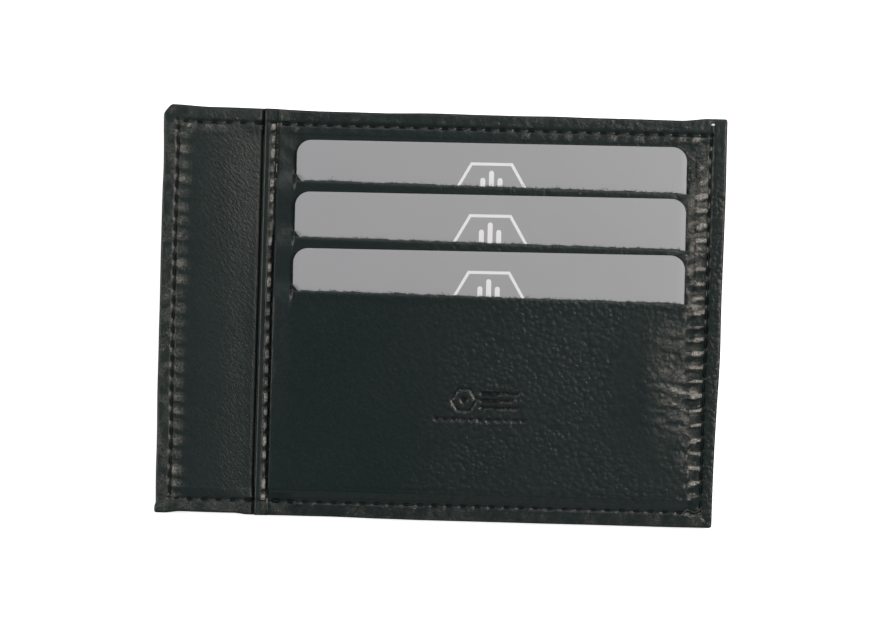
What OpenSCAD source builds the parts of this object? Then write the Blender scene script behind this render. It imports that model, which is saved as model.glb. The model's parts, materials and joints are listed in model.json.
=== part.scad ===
// Flat leather card holder: three card slots cut in one front panel, and a side pocket for notes.
// It lies on its back. +Z is the front face, and +Y is the side that the cards come out of.
// The origin is the middle of the back's outer face.

/* [Holder] */
// Width of the holder
holder_w = 123; // [120:0.5:132]
// Height of the holder
holder_h = 89; // [88.5:0.5:98]
// Radius of the outline's corners
corner_r = 1.6; // [0.5:0.1:4]
// Width of the plain strip, from the left edge to the mouth of the note pocket
strip_w = 21.4; // [18:0.1:22]
// Gap at the mouth of the note pocket
mouth_gap = 0.2; // [0.1:0.05:0.6]

/* [Leather and lining] */
// Thickness of the leather's outer layer
leather_t = 0.6; // [0.5:0.1:0.8]
// Thickness of the leather where it is skived and turned under
hem_t = 0.4; // [0.35:0.05:0.6]
// Width of the turned hem
hem_w = 5.5; // [4:0.5:6]
// Thickness of the textile linings and of the tape in the fold
lining_t = 0.1; // [0.08:0.01:0.12]

/* [Cards] */
// Width of a card
card_w = 85.6; // [84:0.1:86]
// Height of a card
card_h = 53.98; // [53:0.01:54]
// Thickness of a card
card_t = 0.76; // [0.5:0.01:0.84]
// Radius of a card's corners
card_r = 3.18; // [2:0.01:4]
// How far the cards stand askew in their slots, in degrees
card_skew = 0.45; // [0:0.05:0.6]

/* [Slots] */
// How far the slits run out of square, in degrees
slit_skew = -0.4; // [-0.6:0.05:0]
// Room beside a card in its pocket
side_play = 1.15; // [1:0.05:1.3]
// Room under a card where it lies on leather
play = 0.05; // [0.03:0.01:0.1]
// Room between a card and the leather over it
lip_gap = 0.14; // [0.14:0.01:0.2]

/* [Seams] */
// Distance from the edge to the seam
seam_in = 2.9; // [2.5:0.1:3.5]
// Length of one stitch with its gap
stitch_pitch = 3.15; // [2.5:0.05:4]
// Diameter of the thread
thread_d = 0.36; // [0.3:0.01:0.4]

/* [Hidden] */

$fn = 32;
eps = 0.01;

// Places across the holder
half_w = holder_w / 2;
half_h = holder_h / 2;
mouth_x = strip_w - half_w;
seam_x = half_w - seam_in;
seam_y = half_h - seam_in;
fold_seam_x = mouth_x + seam_in;
strip_end_x = mouth_x + 3.7;
card_x = half_w - 50.85;
field_left = card_x - card_w / 2 - side_play;
field_right = card_x + card_w / 2 + side_play;
slope_left = mouth_x + 3.5;
slope_right = seam_x - 0.7;

// Places up the holder: each slit, and the top edge of each card, both at the middle of the cards
slit_y = [half_h - 15.75, half_h - 28.2, half_h - 39.95];
card_top_y = [half_h - 6.3, half_h - 17.7, half_h - 30.1];
field_bottom = card_top_y[2] - card_h - 0.57;
slope_bottom = field_bottom - 0.85;

// Levels, from the back's outer face
back_hem_top = leather_t + hem_t;
pocket_floor = back_hem_top + lining_t;
rim_skin = pocket_floor + hem_t;
rim_top = rim_skin + leather_t;
fold_under = rim_top + mouth_gap;
fold_skin = fold_under + hem_t;
fold_top = fold_skin + leather_t;

// Each card leans back a little more than the one behind it, because its foot has less under it.
card_lean = [0.64, 1.6, 2.6];

// Seam grooves and threads
groove_w = thread_d + 0.3;
groove_d = 0.28;
back_groove_d = thread_d + 0.04;
inner_thread_d = 0.22;
stitch_share = 0.74;

leather_colour = [0.13, 0.16, 0.155];
lining_colour = [0.07, 0.07, 0.08];
thread_colour = [0.05, 0.055, 0.055];
card_colour = [0.62, 0.62, 0.63];

// Height of card k's underside above the back, at y
function card_under(k, y) =
    (k == 0 ? rim_top : face_top(k - 1, slit_y[k])) + play
    + tan(card_lean[k]) * (y - slit_y[k]);

// Height of the leather below slit k, which lies over card k
function face_top(k, y) = card_under(k, y) + card_t + lip_gap + leather_t;

// The slit's line, which runs slightly out of square
function slit_at(k, x) = slit_y[k] + tan(slit_skew) * (x - card_x);

// Lowest point that card k's foot reaches
function card_foot(k) = card_top_y[k] - card_h - sin(card_skew) * card_w / 2;

// Height of the rim's outer face along the top and bottom seams
function rim_at(x) =
    x <= slope_left ? fold_top
    : x >= field_left ? rim_top
    : fold_top + (rim_top - fold_top) * (x - slope_left) / (field_left - slope_left);

// ---- shapes that repeat ----

// Rectangle from corner a to corner b with round corners
module round_rect(a, b, r) {
    translate([a[0] + r, a[1]]) square([b[0] - a[0] - 2 * r, b[1] - a[1]]);
    translate([a[0], a[1] + r]) square([b[0] - a[0], b[1] - a[1] - 2 * r]);
    for (x = [a[0] + r, b[0] - r], y = [a[1] + r, b[1] - r])
        translate([x, y]) circle(r);
}

// Box from corner a to corner b
module span(a, b) {
    translate(a) cube(b - a);
}

module outline(inset = 0) {
    round_rect([inset - half_w, inset - half_h], [half_w - inset, half_h - inset], corner_r);
}

// A patch of sheet with thickness t under its four top corners, given anticlockwise from above
module patch(top, t) {
    low = [for (p = top) [p[0], p[1], p[2] - t]];
    hull() polyhedron(
        concat(low, top),
        [[0, 1, 2, 3], [7, 6, 5, 4], [4, 5, 1, 0], [5, 6, 2, 1], [6, 7, 3, 2], [7, 4, 0, 3]]
    );
}

// One stitch: a bar of thread from a to b
module stitch(a, b, d) {
    v = b - a;
    length = norm(v);
    translate(a)
        rotate([0, acos(v[2] / length), atan2(v[1], v[0])])
            cylinder(h = length, d = d);
}

// A straight run of stitches in a plane of constant height
module run(a, b, d, pitch = stitch_pitch) {
    count = round(norm(b - a) / pitch);
    step = (b - a) / count;
    for (i = [0 : count - 1])
        stitch(
            a + step * (i + 0.5 - stitch_share / 2),
            a + step * (i + 0.5 + stitch_share / 2),
            d
        );
}

// ---- back ----

module back_panel() {
    color(leather_colour) difference() {
        union() {
            linear_extrude(leather_t) outline();
            translate([0, 0, leather_t]) linear_extrude(hem_t) difference() {
                outline();
                outline(hem_w);
            }
        }
        translate([0, 0, -eps]) linear_extrude(back_groove_d + eps) difference() {
            square([2 * seam_x + groove_w, 2 * seam_y + groove_w], center = true);
            square([2 * seam_x - groove_w, 2 * seam_y - groove_w], center = true);
        }
    }
}

module back_stiffener() {
    color([0.32, 0.26, 0.2])
        translate([0, 0, leather_t]) linear_extrude(hem_t) outline(hem_w + 0.2);
}

module back_lining() {
    color(lining_colour)
        translate([0, 0, back_hem_top]) linear_extrude(lining_t) outline(1.2);
}

// ---- plain strip on the left ----

module side_panel() {
    color(leather_colour) difference() {
        union() {
            translate([0, 0, rim_skin]) linear_extrude(leather_t) intersection() {
                outline();
                translate([-half_w, -half_h]) square([strip_end_x + half_w, holder_h]);
            }
            translate([0, 0, pocket_floor]) linear_extrude(hem_t) intersection() {
                difference() {
                    outline();
                    outline(hem_w);
                }
                translate([-half_w, -half_h]) square([strip_end_x + half_w, holder_h]);
            }
        }
        for (side = [-1, 1])
            span(
                [-seam_x - groove_w / 2, side * seam_y - groove_w / 2, rim_top - groove_d],
                [strip_end_x + eps, side * seam_y + groove_w / 2, rim_top + eps]
            );
        span(
            [-seam_x - groove_w / 2, -seam_y, rim_top - groove_d],
            [-seam_x + groove_w / 2, seam_y, rim_top + eps]
        );
    }
}

module side_filler() {
    color([0.2, 0.2, 0.2])
        translate([0, 0, pocket_floor]) linear_extrude(hem_t - 0.02)
            round_rect(
                [-half_w + hem_w + 0.2, -half_h + hem_w + 0.2],
                [strip_end_x - 0.4, half_h - hem_w - 0.2],
                corner_r
            );
}

// ---- front panel with the three slits ----

columns = [mouth_x, slope_left, field_left, field_right, slope_right, half_w];

// Height of the front panel's outer face on column i: the fold, the card field, or the rim
function face_at(i, field_z) = i < 2 ? fold_top : i < 4 ? field_z : rim_top;

// One row of patches between two boundaries, each given as [y, field height] on every column
module panel_row(low, high) {
    for (i = [0 : len(columns) - 2]) {
        x0 = columns[i];
        x1 = columns[i + 1];
        patch([
            [x0, low[i][0], face_at(i, low[i][1])],
            [x1, low[i + 1][0], face_at(i + 1, low[i + 1][1])],
            [x1, high[i + 1][0], face_at(i + 1, high[i + 1][1])],
            [x0, high[i][0], face_at(i, high[i][1])]
        ], leather_t);
    }
}

function level_line(y, z) = [for (x = columns) [y, z]];
function slit_line(k, zone) =
    [for (x = columns) let (y = slit_at(k, x)) [y, zone < 0 ? rim_top : face_top(zone, y)]];

module panel_skin() {
    panel_row(slit_line(0, -1), level_line(half_h, rim_top));
    panel_row(slit_line(1, 0), slit_line(0, 0));
    panel_row(slit_line(2, 1), slit_line(1, 1));
    panel_row(level_line(field_bottom, face_top(2, field_bottom)), slit_line(2, 2));
    panel_row(
        level_line(slope_bottom, rim_top),
        level_line(field_bottom, face_top(2, field_bottom))
    );
    panel_row(level_line(-half_h, rim_top), level_line(slope_bottom, rim_top));
}

// The hem turned under the rim, and the one turned under the fold at the note pocket's mouth
module panel_hem() {
    fold_hem_end = slope_left + 0.3;
    span([half_w - hem_w, -half_h, pocket_floor], [half_w, half_h, rim_skin + eps]);
    for (y = [-half_h, half_h - hem_w])
        span([field_left, y, pocket_floor], [half_w, y + hem_w, rim_skin + eps]);
    span([mouth_x, -half_h, fold_under], [fold_hem_end, half_h, fold_skin - lining_t]);
    span([mouth_x, -half_h, fold_under], [mouth_x + leather_t, half_h, fold_skin + eps]);
    for (y = [-half_h, half_h - seam_in - 1])
        span([mouth_x, y, rim_top], [strip_end_x, y + seam_in + 1, fold_under + eps]);
}

module rim_groove(y) {
    ends = [mouth_x - eps, slope_left, field_left, seam_x + groove_w / 2];
    for (i = [0 : 2])
        patch([
            [ends[i], y - groove_w / 2, rim_at(ends[i]) + 1],
            [ends[i + 1], y - groove_w / 2, rim_at(ends[i + 1]) + 1],
            [ends[i + 1], y + groove_w / 2, rim_at(ends[i + 1]) + 1],
            [ends[i], y + groove_w / 2, rim_at(ends[i]) + 1]
        ], 1 + groove_d);
}

module front_panel() {
    color(leather_colour) difference() {
        intersection() {
            union() {
                panel_skin();
                panel_hem();
            }
            linear_extrude(20) outline();
        }
        for (side = [-1, 1])
            rim_groove(side * seam_y);
        span(
            [seam_x - groove_w / 2, -seam_y, rim_top - groove_d],
            [seam_x + groove_w / 2, seam_y, rim_top + 1]
        );
        span(
            [fold_seam_x - groove_w / 2, -half_h - eps, fold_top - groove_d],
            [fold_seam_x + groove_w / 2, half_h + eps, fold_top + 1]
        );
        span(
            [fold_seam_x - 0.2, -seam_y + 1.6, fold_under - eps],
            [fold_seam_x + 0.2, seam_y - 1.6, fold_under + inner_thread_d + 0.04]
        );
    }
}

module fold_tape() {
    color([0.75, 0.74, 0.7]) span(
        [mouth_x + leather_t + 0.1, 1 - half_h, fold_skin - lining_t + eps],
        [slope_left - 0.1, half_h - 1, fold_skin - eps]
    );
}

// ---- linings ----

// Front wall of the note pocket, with a joggle up to the fold at its mouth
module front_lining() {
    gap = rim_skin - 2 * lining_t;
    joggle_x = field_left + 0.1;
    color(lining_colour) {
        span([joggle_x, -half_h + hem_w, gap], [half_w - hem_w, half_h - hem_w, gap + lining_t]);
        translate([0, half_h - hem_w, 0]) rotate([90, 0, 0]) linear_extrude(holder_h - 2 * hem_w)
            polygon([
                [joggle_x, gap],
                [joggle_x, gap + lining_t],
                [slope_left + 0.35, fold_under + lining_t],
                [slope_left + 0.35, fold_under]
            ]);
    }
}

sheet_drop = lining_t + 0.04;
tab_h = 3.5;

// Underside of the lining sheet that lies under card k, at y
function sheet_under(k, y) = card_under(k, y) - sheet_drop;

// Top of the wall that closes the foot of pocket k, just under the next pocket's sheet
function foot_top(k, y) = sheet_under(k + 1, y) - 0.03;

module lining_prism(points) {
    translate([field_left + 0.1, 0, 0]) rotate([90, 0, 90])
        linear_extrude(field_right - field_left - 0.2) polygon(points);
}

// Pocket 1: a flat sheet under the leather above slit 1, turned up at its foot
module pocket_lining_1() {
    foot = card_foot(0) - 0.5;
    low = rim_skin - lining_t;
    end = slit_y[0] + tab_h;
    color(lining_colour) lining_prism([
        [foot, low], [end, low], [end, rim_skin], [foot + lining_t, rim_skin],
        [foot + lining_t, foot_top(0, foot)], [foot, foot_top(0, foot)]
    ]);
}

// Pockets 2 and 3: a tab glued behind the leather above the slit, then a sheet that leans with the card
module pocket_lining(k) {
    t = lining_t;
    foot = card_foot(k) - 0.5;
    head = slit_at(k, field_right) - 0.05;
    end = slit_at(k, field_left) + tab_h;
    tab_drop = leather_t + t + 0.01;
    foot_end = k == 1
        ? [[foot + t, sheet_under(k, foot + t) + t], [foot + t, foot_top(k, foot)], [foot, foot_top(k, foot)]]
        : [[foot, sheet_under(k, foot) + t]];
    color(lining_colour) lining_prism(concat([
        [foot, sheet_under(k, foot)],
        [head - t, sheet_under(k, head - t)],
        [head - t, face_top(k - 1, head - t) - tab_drop],
        [end, face_top(k - 1, end) - tab_drop],
        [end, face_top(k - 1, end) - tab_drop + t],
        [head, face_top(k - 1, head) - tab_drop + t],
        [head, sheet_under(k, head) + t]
    ], foot_end));
}

// ---- threads ----

// Depth of a thread's centre under the face that it lies in
sunk = groove_d - thread_d / 2 - 0.02;

// The seam along the top or bottom edge, which climbs over the fold
module edge_run(y) {
    count = round(2 * seam_x / stitch_pitch);
    step = 2 * seam_x / count;
    for (i = [0 : count - 1]) {
        x0 = -seam_x + step * (i + 0.5 - stitch_share / 2);
        x1 = -seam_x + step * (i + 0.5 + stitch_share / 2);
        steps_up = x0 < mouth_x && x1 > mouth_x;
        level = x1 <= mouth_x || steps_up ? [rim_top, rim_top] : [rim_at(x0), rim_at(x1)];
        stitch([x0, y, level[0] - sunk], [steps_up ? mouth_x - 0.1 : x1, y, level[1] - sunk], thread_d);
    }
}

module rim_thread_front() {
    color(thread_colour) {
        for (side = [-1, 1]) {
            edge_run(side * seam_y);
            run([side * seam_x, -seam_y, rim_top - sunk], [side * seam_x, seam_y, rim_top - sunk], thread_d);
        }
    }
}

module rim_thread_back() {
    z = thread_d / 2 + 0.02;
    color(thread_colour) {
        for (side = [-1, 1]) {
            run([-seam_x, side * seam_y, z], [seam_x, side * seam_y, z], thread_d);
            run([side * seam_x, -seam_y, z], [side * seam_x, seam_y, z], thread_d);
        }
    }
}

module fold_thread_front() {
    z = fold_top - sunk;
    color(thread_colour) run(
        [fold_seam_x, groove_w - seam_y, z],
        [fold_seam_x, seam_y - groove_w, z],
        thread_d
    );
}

module fold_thread_back() {
    z = fold_under + inner_thread_d / 2 + 0.02;
    color(thread_colour) run(
        [fold_seam_x, -seam_y + 2, z],
        [fold_seam_x, seam_y - 2, z],
        inner_thread_d
    );
}

// Seams that close the feet of pockets 1 and 2
module pocket_thread() {
    color(thread_colour) for (k = [0, 1]) {
        y = card_foot(k) - 0.5 - inner_thread_d / 2 - 0.01;
        z = foot_top(k, y) - 0.07 - inner_thread_d / 2;
        run([field_left + 2, y, z], [field_right - 2, y, z], inner_thread_d);
    }
}

// ---- cards ----

module card(k) {
    middle = card_top_y[k] - card_h / 2;
    color(card_colour)
        translate([card_x, middle, card_under(k, middle)])
            rotate([card_lean[k], 0, 0]) rotate([0, 0, card_skew])
                linear_extrude(card_t)
                    round_rect([-card_w / 2, -card_h / 2], [card_w / 2, card_h / 2], card_r);
}

back_panel();
back_stiffener();
back_lining();
side_panel();
side_filler();
front_panel();
fold_tape();
front_lining();
pocket_lining_1();
pocket_lining(1);  // pocket_lining_2
pocket_lining(2);  // pocket_lining_3
rim_thread_front();
rim_thread_back();
fold_thread_front();
fold_thread_back();
pocket_thread();
card(0);  // card_1
card(1);  // card_2
card(2);  // card_3
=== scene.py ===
"""Looks of the leather card holder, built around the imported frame.
Lengths are in millimetres until a mesh is made."""

import json
import math

import bpy
import numpy as np
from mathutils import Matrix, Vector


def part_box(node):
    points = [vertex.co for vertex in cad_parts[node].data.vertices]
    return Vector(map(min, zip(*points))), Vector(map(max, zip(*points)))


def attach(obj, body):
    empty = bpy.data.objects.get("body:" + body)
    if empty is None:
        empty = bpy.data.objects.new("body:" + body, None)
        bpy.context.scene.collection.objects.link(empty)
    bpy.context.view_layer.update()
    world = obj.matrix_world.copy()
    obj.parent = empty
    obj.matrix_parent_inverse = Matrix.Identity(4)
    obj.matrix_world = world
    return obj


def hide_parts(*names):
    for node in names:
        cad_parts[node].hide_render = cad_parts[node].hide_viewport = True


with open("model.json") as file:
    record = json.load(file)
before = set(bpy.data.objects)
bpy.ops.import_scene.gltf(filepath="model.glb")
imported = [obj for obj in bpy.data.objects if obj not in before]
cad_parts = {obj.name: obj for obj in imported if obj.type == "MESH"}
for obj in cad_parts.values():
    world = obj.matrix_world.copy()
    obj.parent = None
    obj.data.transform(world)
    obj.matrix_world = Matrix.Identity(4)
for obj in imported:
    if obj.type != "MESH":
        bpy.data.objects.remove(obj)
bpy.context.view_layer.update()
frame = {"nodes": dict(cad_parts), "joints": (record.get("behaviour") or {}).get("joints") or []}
MM = 0.001


def node_box(name):
    low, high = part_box(name)
    return np.array(low) / MM, np.array(high) / MM


# ---- what the frame says

HALF_W, HALF_H, BACK_TOP = node_box("back_panel")[1]
SIDE_LOW, SIDE_HIGH = node_box("side_panel")
FRONT_LOW = node_box("front_panel")[0]
POCKET_FLOOR, RIM_TOP = SIDE_LOW[2], SIDE_HIGH[2]
MOUTH_X, STRIP_END = FRONT_LOW[0], SIDE_HIGH[0]
LEATHER, HEM, LINING, HEM_W = 0.6, 0.4, 0.1, 5.5
MOUTH_GAP, LIP_GAP, SHEET_DROP = 0.2, 0.14, 0.14
FOLD_UNDER = RIM_TOP + 0.06
FOLD_TOP = FOLD_UNDER + 0.9
SEAM_IN, PITCH = 2.9, 3.15
RIM_THREAD, FOLD_THREAD, BOBBIN_THREAD = 0.18, 0.36, 0.1  # radii
SEAM_X, SEAM_Y = HALF_W - SEAM_IN, HALF_H - SEAM_IN
FOLD_SEAM_X, FOLD_SEAM_Y = MOUTH_X + SEAM_IN, SEAM_Y - 0.66

joint_axis = {j["child"]: j["axis"] for j in frame["joints"]}
CARDS = []
for k in range(3):
    low, high = node_box(f"card_{k + 1}")
    ax, ay, az = joint_axis[f"card_{k + 1}"]
    CARDS.append({
        "centre": (low + high) / 2,
        "lean": math.atan2(az, ay),
        "skew": math.asin(-ax),
    })
CARD_W, CARD_H, CARD_T, CARD_R = 85.6, 53.98, 0.76, 3.18
CARD_X = CARDS[0]["centre"][0]
CARD_LEFT, CARD_RIGHT = CARD_X - CARD_W / 2, CARD_X + CARD_W / 2
SLIT_LEFT, SLIT_RIGHT = CARD_LEFT - 0.9, CARD_RIGHT + 0.9
SLIT_Y = [HALF_H - drop for drop in (15.75, 28.2, 39.95)]
SLIT_SKEW = math.tan(math.radians(-0.4))
FOOT_Y = CARDS[2]["centre"][1] - CARD_H / 2
CREASE = 35  # degrees: an edge that bends more than this stays sharp
MOST_TRIANGLES = 198000  # the most triangles that a leather piece is thinned to; a piece has to stay under 200,000
NOISE_SIZE = 97

# ---- smooth numbers


def floats(*values):
    return (np.asarray(value, float) for value in values)


def unit(x):
    return np.clip(x, 0, 1)


def ease(a, b, x):
    """0 at a and before, 1 at b and after, smooth between; b may be below a."""
    t = unit((np.asarray(x, float) - a) / (b - a))
    return t * t * (3 - 2 * t)


def bump(x, width):
    return np.exp(-(np.asarray(x, float) / width) ** 2)


def drift(x, y, size, seed):
    """Smooth noise from -1 to 1 with features about size across."""
    grid = np.random.default_rng(seed).uniform(-1, 1, (NOISE_SIZE, NOISE_SIZE))
    u, v = np.asarray(x, float) / size + 40.3, np.asarray(y, float) / size + 41.7
    i, j = np.floor(u).astype(int), np.floor(v).astype(int)
    fu, fv = u - i, v - j
    fu, fv = fu * fu * (3 - 2 * fu), fv * fv * (3 - 2 * fv)
    g = lambda a, b: grid[a % NOISE_SIZE, b % NOISE_SIZE]
    low = g(i, j) * (1 - fu) + g(i + 1, j) * fu
    high = g(i, j + 1) * (1 - fu) + g(i + 1, j + 1) * fu
    return low * (1 - fv) + high * fv


def warp(x, y):
    """The cut outline isn't quite square: how the edges wander from the true rectangle."""
    x, y = floats(x, y)
    right = ease(57.2, HALF_W, x) * (0.2 - 1.0 * ease(25, -22, y) + 0.06 * drift(3, y, 9, 11))
    right += ease(59.2, HALF_W, x) * (0.4 + 0.55 * bump(y + 10, 14) - 0.08 * ease(-20, -40, y))
    left = ease(-52, -HALF_W, x) * (0.42 * ease(10, -44, y) + 0.08 * drift(5, y, 10, 12))
    left += 0.52 * ease(-41.7, -40.8, x) * ease(-35.6, -38.2, x)
    trim = 0.22 + 0.12 * ease(30, 43, y) + 0.3 * ease(-42.6, -43.4, y) + 0.14 * bump(y + 26, 12)
    left -= ease(-59.4, -HALF_W, x) * trim
    rise = 0.05 - 0.32 * bump(x + 22, 13) + 0.4 * ease(-51, -60, x) + 0.45 * ease(52, 58, x)
    top = ease(42.4, HALF_H, y) * (rise + 0.08 * drift(x, 1, 9, 13))
    top -= 0.3 * ease(38.5, 41.2, y) * ease(44.3, 42.3, y)
    drop = 0.3 * ease(-41, -44, x) - 0.3 - 0.15 * ease(-24, -10, x) - 0.38 * ease(-56, -60, x)
    bottom = ease(-42.4, -HALF_H, y) * (drop + 0.06 * drift(x, 2, 9, 14))
    return x + right + left, y + top + bottom


# ---- height of the leather


def on_card(k, y, up):
    """Height of the plane that lies up above the middle of card k."""
    c = CARDS[k]
    return c["centre"][2] + math.tan(c["lean"]) * (y - c["centre"][1]) + up / math.cos(c["lean"])


def slit_at(k, x):
    return SLIT_Y[k] + SLIT_SKEW * (np.asarray(x, float) - CARD_X)


def cut_at(k, x):
    """The slit's cut edge, as knife and use have left it; its left end rides up over the card."""
    x = np.asarray(x, float)
    rough = 0.1 * drift(x, k * 7, 0.45, 21) + 0.07 * drift(x, k * 11, 1.3, 23)
    rough = rough + 0.08 * drift(x, k * 9, 4.5, 22)
    calm = ease(SLIT_LEFT, CARD_LEFT + 1.6, x) * ease(SLIT_RIGHT, CARD_RIGHT - 1.2, x)
    ends = 1.3 * ease(CARD_LEFT + 1.15, CARD_LEFT - 0.5, x) - 0.22 * bump(x - CARD_LEFT - 1.3, 0.35)
    ends = ends - 0.25 * bump(x - CARD_RIGHT, 1.1)
    return slit_at(k, x) + rough * calm + ends


def field_of(k, y):
    """Height of the leather's face in zone k: -1 above the first slit, 2 below the last."""
    y = np.asarray(y, float)
    return np.full_like(y, RIM_TOP) if k < 0 else on_card(k, y, CARD_T / 2) + LIP_GAP + LEATHER


def stitch_phase(s, length):
    """Place along a seam of that length, counted in stitches; whole numbers are needle holes."""
    count = round(length / PITCH)
    return (np.asarray(s, float) + length / 2) * count / length


def gathers(d, s, length, seed, sharp):
    """0 in the hollows, about 1 on the crest of the rib that runs in from each needle hole."""
    vary = np.random.default_rng(seed).uniform(0.35, 1.15, 400)
    phase = stitch_phase(s, length) + 0.035 * np.clip(d, -1, 4) + 0.15 * drift(d * 0.8, s, 3.1, seed + 1)
    crest = np.minimum(1.35 * (np.cos(np.pi * phase) ** 2) ** sharp, 1)
    return crest * vary[np.round(phase).astype(int) % 400]


def seam_relief(d, s, length, inner, outer, seed, reach=1.0, sharp=1.5, hole=(0.85, 0.34)):
    """Groove, sunk stitches, and the ribs gathered between them. d is the distance inside the seam, hole the
    half length and depth of a sunk stitch. Gives the height; how light a place is painted, for rubbing and
    for a highlight on the rib crests; and how dark, for painted shade in the groove and the holes."""
    phase = stitch_phase(s, length)
    rib = gathers(d, s, length, seed, sharp)
    between = (phase - np.floor(phase) - 0.5) * PITCH
    pit = np.exp(-(between / hole[0]) ** 4)
    relief = -0.14 * bump(d, 0.42) - hole[1] * pit * np.exp(-(np.asarray(d, float) / 0.4) ** 4)
    inside = ease(0.15, 0.6, d) * bump(np.maximum(d - 1.0, 0), 1.5 * reach)
    outside = ease(-0.2, -0.7, d) * ease(-2.6, -1.3, d)
    relief = relief + inner * (rib + 0.3 * drift(d, s, 1.6, seed + 2)) * inside + outer * rib * outside
    # the rib crests are lightened: rubbing, and a painted highlight
    wear_and_highlight = unit(rib) * (inside * inner / 0.3 + outside * outer / 0.6) * 1.3
    # painted shade in the groove and the needle holes
    dark = bump(d, 0.3) * (0.2 + 0.4 * pit)
    return relief, wear_and_highlight, dark


def rim_relief(x, y):
    """All the seams round the edge, and the faint line that the turned hem presses through."""
    x, y = floats(x, y)
    w, h = 2 * SEAM_X, 2 * SEAM_Y
    parts = [
        seam_relief(SEAM_X - x, y, h, 0.08, 0.04, 31, 1.0),
        seam_relief(SEAM_X + x, y, h, 0.34, 0.04, 33, 0.9, 1.0),
        seam_relief(SEAM_Y - y, x, w, 0.05 + 0.14 * ease(0, 50, x) + 0.12 * ease(-44, -52, x), 0.06, 35, 0.9),
        seam_relief(SEAM_Y + y, x, w, 0.03, 0.12, 37, 0.7),
    ]
    near_y, near_x = np.abs(y) < SEAM_Y + 0.5, np.abs(x) < SEAM_X + 0.5
    inside = [near_y, near_y, near_x, near_x]

    def chosen(values):
        return sum(np.where(near, value, 0) for value, near in zip(values, inside))

    relief = chosen([p[0] for p in parts])
    # the left-hand ribs are all lightened about alike, by rubbing and by a painted highlight
    rubs_and_highlights = [parts[0][1], 0.69 * np.sqrt(np.maximum(parts[1][1], 0)), parts[2][1], parts[3][1]]
    # dark here is the painted shade in the grooves and needle holes
    wear_and_highlight, dark = chosen(rubs_and_highlights), chosen([p[2] for p in parts])
    edge = edge_distance(x, y)
    print_through = 1 - 0.75 * ease(HALF_H - HEM_W - 1, HALF_H - HEM_W, y) * (x < MOUTH_X)
    relief -= (0.05 * ease(HEM_W - 0.1, HEM_W + 0.25, edge) + 0.04 * bump(edge - HEM_W, 0.22)) * print_through
    # the crease where the hem is tucked in at the top right-hand corner
    relief -= 0.4 * bump(x - SEAM_X - 0.1, 0.26) * ease(SEAM_Y - 4.5, SEAM_Y - 1.5, y)
    # two scratches on the side strip, where a fold of the hem has rubbed
    upright = 0.07 * bump(x + 55.8, 0.13) * ease(26, 28, y) * ease(35, 34, y)
    level = 0.05 * bump(y + 39.1, 0.13) * ease(-58, -57, x) * ease(-46, -50, x)
    relief += upright + level
    return relief, unit(wear_and_highlight), dark


def margin_wear(x, y):
    """The margin outside the seams is rubbed in patches, most of all along the left edge."""
    x, y = floats(x, y)
    patch = 0.65 + 0.5 * drift(x, y, 1.9, 97) + 0.3 * drift(x, y, 0.7, 98)
    sides = ((-x, SEAM_X, 0.5), (x, SEAM_X, 0.1), (y, SEAM_Y, 0.3), (-y, SEAM_Y, 0.5))
    rubs_and_highlights = [amount * ease(at + 0.35, at + 0.8, place) for place, at, amount in sides]
    return np.maximum.reduce(rubs_and_highlights) * np.clip(patch, 0, 1.4)


def edge_distance(x, y):
    return np.minimum(HALF_W - np.abs(x), HALF_H - np.abs(y))


def round_over(d, radius):
    """How far a face has dropped at distance d from an edge that is rolled to that radius."""
    t = np.clip(d, 0, radius)
    return radius - np.sqrt(np.maximum(radius ** 2 - (radius - t) ** 2, 0))


def blind_stamp(x, y):
    """A plain six-sided figure with three bars, over a row of short dashes, from 0 to 1."""
    cx, cy = 10.4, -18.2
    u, v = np.abs(x - cx + 4.6), np.abs(y - cy)
    hexagon = np.maximum(u * 0.866 + v * 0.5, v) - 2.35
    mark = ease(0.42, 0.16, np.abs(hexagon))
    mark = np.maximum(mark, ease(0.95, 0.65, np.hypot(u, v)))
    for top, right in ((1.55, 7.4), (0.0, 6.2), (-1.55, 7.4)):
        inside = np.maximum(np.abs(y - cy - top) - 0.36, np.maximum(cx - 1.0 - x, x - cx - right))
        mark = np.maximum(mark, ease(0.16, -0.1, inside))
    along = (x - cx + 11.4) % 1.9
    row = np.maximum(np.abs(y - cy + 4.3) - 0.42, np.abs(x - cx + 0.95) - 10.4)
    dash = np.maximum(np.abs(along - 0.95) - 0.58, row)
    return np.maximum(mark, 0.8 * ease(0.14, -0.1, dash))


def right_crest(x, y):
    """How far up a rib of the right-hand seam a place is: narrow ribs low down, broad ones higher up."""
    y = np.asarray(y, float)
    d, length = SEAM_X - np.asarray(x, float), 2 * SEAM_Y
    sharp = 6.5 - 3.5 * ease(-12, 8, y)
    place = y - 0.4 + 1.3 * ease(-9, 1, y)
    crest = unit((1.7 + 1.3 * bump(y + 22, 6)) * gathers(d, place, length, 31, sharp))
    return crest * ease(-SEAM_Y + 1, -SEAM_Y + 3, y) * ease(SEAM_Y - 4, SEAM_Y - 12, y)


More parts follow.
